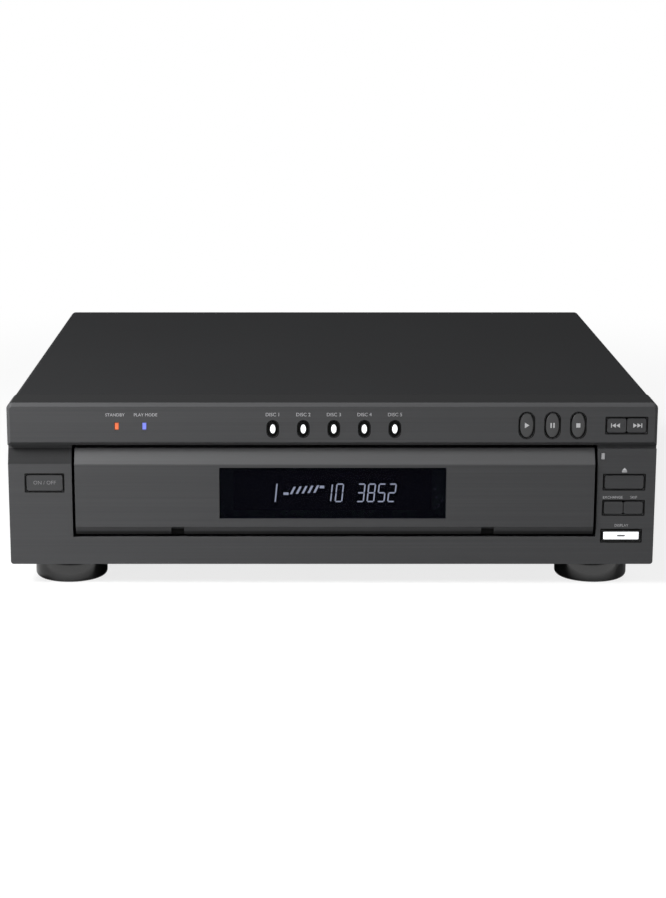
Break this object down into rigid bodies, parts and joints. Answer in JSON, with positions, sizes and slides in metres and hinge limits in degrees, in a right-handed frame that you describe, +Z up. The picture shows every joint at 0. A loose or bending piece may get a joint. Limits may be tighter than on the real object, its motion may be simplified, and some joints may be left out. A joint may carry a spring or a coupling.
{
  "type": "multi-disc changer",
  "caption": "Black hi-fi disc changer: motor drawer with a rotating slotted carousel, lifting pickup deck, display window, keys and glossy feet.",
  "frame": {"origin": "middle of the bounding box in X and Y, at the surface that the feet stand on", "axes": "+X to the right as seen from the front, +Y to the back, +Z up; the front faces -Y"},
  "size_m": [0.43, 0.403, 0.125],
  "materials": {
    "black_steel": "fine black paint, satin",
    "grey_plastic": "brushed dark grey, satin",
    "button_plastic": "satin dark grey",
    "lit_plastic": "translucent white",
    "orange_lens": "clear orange",
    "blue_lens": "clear blue",
    "clear_lens": "clear",
    "smoked_window": "smoked, polished",
    "tube_glass": "polished",
    "circuit_board": "lacquered board",
    "black_plastic": "moulded black",
    "gloss_black": "glossy black",
    "tray_plastic": "moulded black, fine texture",
    "gear_plastic": "natural acetal",
    "zinc_steel": "zinc plated",
    "bright_steel": "polished shaft",
    "motor_steel": "plated can",
    "frame_plastic": "moulded dark grey",
    "core_steel": "varnished laminations",
    "black_aluminium": "black anodised",
    "nickel": "nickel plated",
    "switch_plastic": "moulded black"
  },
  "bodies": {
    "housing": {"front_panel": "grey_plastic", "orange_lamp": "orange_lens", "blue_lamp": "blue_lens", "clear_lamp": "clear_lens", "tact_switches": "switch_plastic", "key_boards": "circuit_board", "mech_frame": "frame_plastic", "loading_motor": "motor_steel", "loading_gearbox": "frame_plastic", "clamp_bridge": "zinc_steel", "base_chassis": "zinc_steel", "rear_panel": "black_steel", "top_cover": "black_steel", "feet": "gloss_black", "main_board": "circuit_board", "main_board_parts": "black_plastic", "power_board": "circuit_board", "transformer": "core_steel", "power_board_parts": "black_aluminium", "jack_block": "black_plastic", "jack_sleeves": "nickel", "mains_inlet": "black_plastic"},
    "drawer": {"drawer_front": "grey_plastic", "display_window": "smoked_window", "display_tube": "tube_glass", "display_board": "circuit_board", "drawer_tray": "tray_plastic", "carousel_motor": "motor_steel"},
    "carousel": {"carousel": "tray_plastic", "carousel_wells": "tray_plastic"},
    "carousel_pinion": {"carousel_pinion": "gear_plastic"},
    "drawer_pinion": {"drawer_pinion": "gear_plastic"},
    "deck": {"pickup_deck": "zinc_steel", "guide_shafts": "bright_steel", "spindle_motor": "motor_steel", "sled_motor": "motor_steel"},
    "pickup": {"pickup": "black_plastic"},
    "turntable": {"turntable": "black_plastic"},
    "clamp_pulley": {"clamp_pulley": "frame_plastic"},
    "power_button": {"power_button": "button_plastic"},
    "open_close_button": {"open_close_button": "button_plastic"},
    "exchange_button": {"exchange_button": "button_plastic"},
    "disc_skip_button": {"disc_skip_button": "button_plastic"},
    "lit_button": {"lit_button": "lit_plastic"},
    "previous_button": {"previous_button": "button_plastic"},
    "next_button": {"next_button": "button_plastic"},
    "play_button": {"play_button": "button_plastic"},
    "pause_button": {"pause_button": "button_plastic"},
    "stop_button": {"stop_button": "button_plastic"},
    "disc_button_1": {"disc_button_1": "lit_plastic"},
    "disc_button_2": {"disc_button_2": "lit_plastic"},
    "disc_button_3": {"disc_button_3": "lit_plastic"},
    "disc_button_4": {"disc_button_4": "lit_plastic"},
    "disc_button_5": {"disc_button_5": "lit_plastic"}
  },
  "joints": [
    {"name": "drawer_slide", "type": "slide", "parent": "housing", "child": "drawer", "axis": [0, -1, 0], "range_m": [0, 0.24]},
    {"name": "carousel_turn", "type": "hinge", "parent": "drawer", "child": "carousel", "pos_m": [0.00175, -0.013, 0.085], "axis": [0, 0, 1], "continuous": true},
    {"name": "carousel_pinion_turn", "type": "hinge", "parent": "drawer", "child": "carousel_pinion", "pos_m": [0.06187, -0.013, 0.078], "axis": [0, 0, 1], "continuous": true},
    {"name": "drawer_pinion_turn", "type": "hinge", "parent": "housing", "child": "drawer_pinion", "pos_m": [-0.08313, -0.11, 0.069], "axis": [0, 0, 1], "range_deg": [-5, 925]},
    {"name": "deck_lift", "type": "hinge", "parent": "housing", "child": "deck", "pos_m": [0.00175, 0.168, 0.073], "axis": [-1, 0, 0], "range_deg": [0, 16]},
    {"name": "pickup_slide", "type": "slide", "parent": "deck", "child": "pickup", "axis": [0, 0.9613, 0.2756], "range_m": [0, 0.036]},
    {"name": "turntable_spin", "type": "hinge", "parent": "deck", "child": "turntable", "pos_m": [0.00175, 0.09398, 0.05178], "axis": [0, -0.2756, 0.9613], "continuous": true},
    {"name": "clamp_turn", "type": "hinge", "parent": "housing", "child": "clamp_pulley", "pos_m": [0.00175, 0.091, 0.095], "axis": [0, 0, 1], "continuous": true},
    {"name": "power_button_press", "type": "slide", "parent": "housing", "child": "power_button", "axis": [0, 1, 0], "range_m": [0, 0.0008], "stiffness_N_per_m": 350},
    {"name": "open_close_button_press", "type": "slide", "parent": "housing", "child": "open_close_button", "axis": [0, 1, 0], "range_m": [0, 0.0008], "stiffness_N_per_m": 350},
    {"name": "exchange_button_press", "type": "slide", "parent": "housing", "child": "exchange_button", "axis": [0, 1, 0], "range_m": [0, 0.0008], "stiffness_N_per_m": 350},
    {"name": "disc_skip_button_press", "type": "slide", "parent": "housing", "child": "disc_skip_button", "axis": [0, 1, 0], "range_m": [0, 0.0008], "stiffness_N_per_m": 350},
    {"name": "lit_button_press", "type": "slide", "parent": "housing", "child": "lit_button", "axis": [0, 1, 0], "range_m": [0, 0.0008], "stiffness_N_per_m": 350},
    {"name": "previous_button_press", "type": "slide", "parent": "housing", "child": "previous_button", "axis": [0, 1, 0], "range_m": [0, 0.0008], "stiffness_N_per_m": 350},
    {"name": "next_button_press", "type": "slide", "parent": "housing", "child": "next_button", "axis": [0, 1, 0], "range_m": [0, 0.0008], "stiffness_N_per_m": 350},
    {"name": "play_button_press", "type": "slide", "parent": "housing", "child": "play_button", "axis": [0, 1, 0], "range_m": [0, 0.0008], "stiffness_N_per_m": 350},
    {"name": "pause_button_press", "type": "slide", "parent": "housing", "child": "pause_button", "axis": [0, 1, 0], "range_m": [0, 0.0008], "stiffness_N_per_m": 350},
    {"name": "stop_button_press", "type": "slide", "parent": "housing", "child": "stop_button", "axis": [0, 1, 0], "range_m": [0, 0.0008], "stiffness_N_per_m": 350},
    {"name": "disc_button_1_press", "type": "slide", "parent": "housing", "child": "disc_button_1", "axis": [0, 1, 0], "range_m": [0, 0.0008], "stiffness_N_per_m": 350},
    {"name": "disc_button_2_press", "type": "slide", "parent": "housing", "child": "disc_button_2", "axis": [0, 1, 0], "range_m": [0, 0.0008], "stiffness_N_per_m": 350},
    {"name": "disc_button_3_press", "type": "slide", "parent": "housing", "child": "disc_button_3", "axis": [0, 1, 0], "range_m": [0, 0.0008], "stiffness_N_per_m": 350},
    {"name": "disc_button_4_press", "type": "slide", "parent": "housing", "child": "disc_button_4", "axis": [0, 1, 0], "range_m": [0, 0.0008], "stiffness_N_per_m": 350},
    {"name": "disc_button_5_press", "type": "slide", "parent": "housing", "child": "disc_button_5", "axis": [0, 1, 0], "range_m": [0, 0.0008], "stiffness_N_per_m": 350}
  ],
  "couplings": [
    {"joint": "carousel_pinion_turn", "follows": "carousel_turn", "ratio": -3},
    {"joint": "drawer_pinion_turn", "follows": "drawer_slide", "rad_per_m": 66.667}
  ]
}
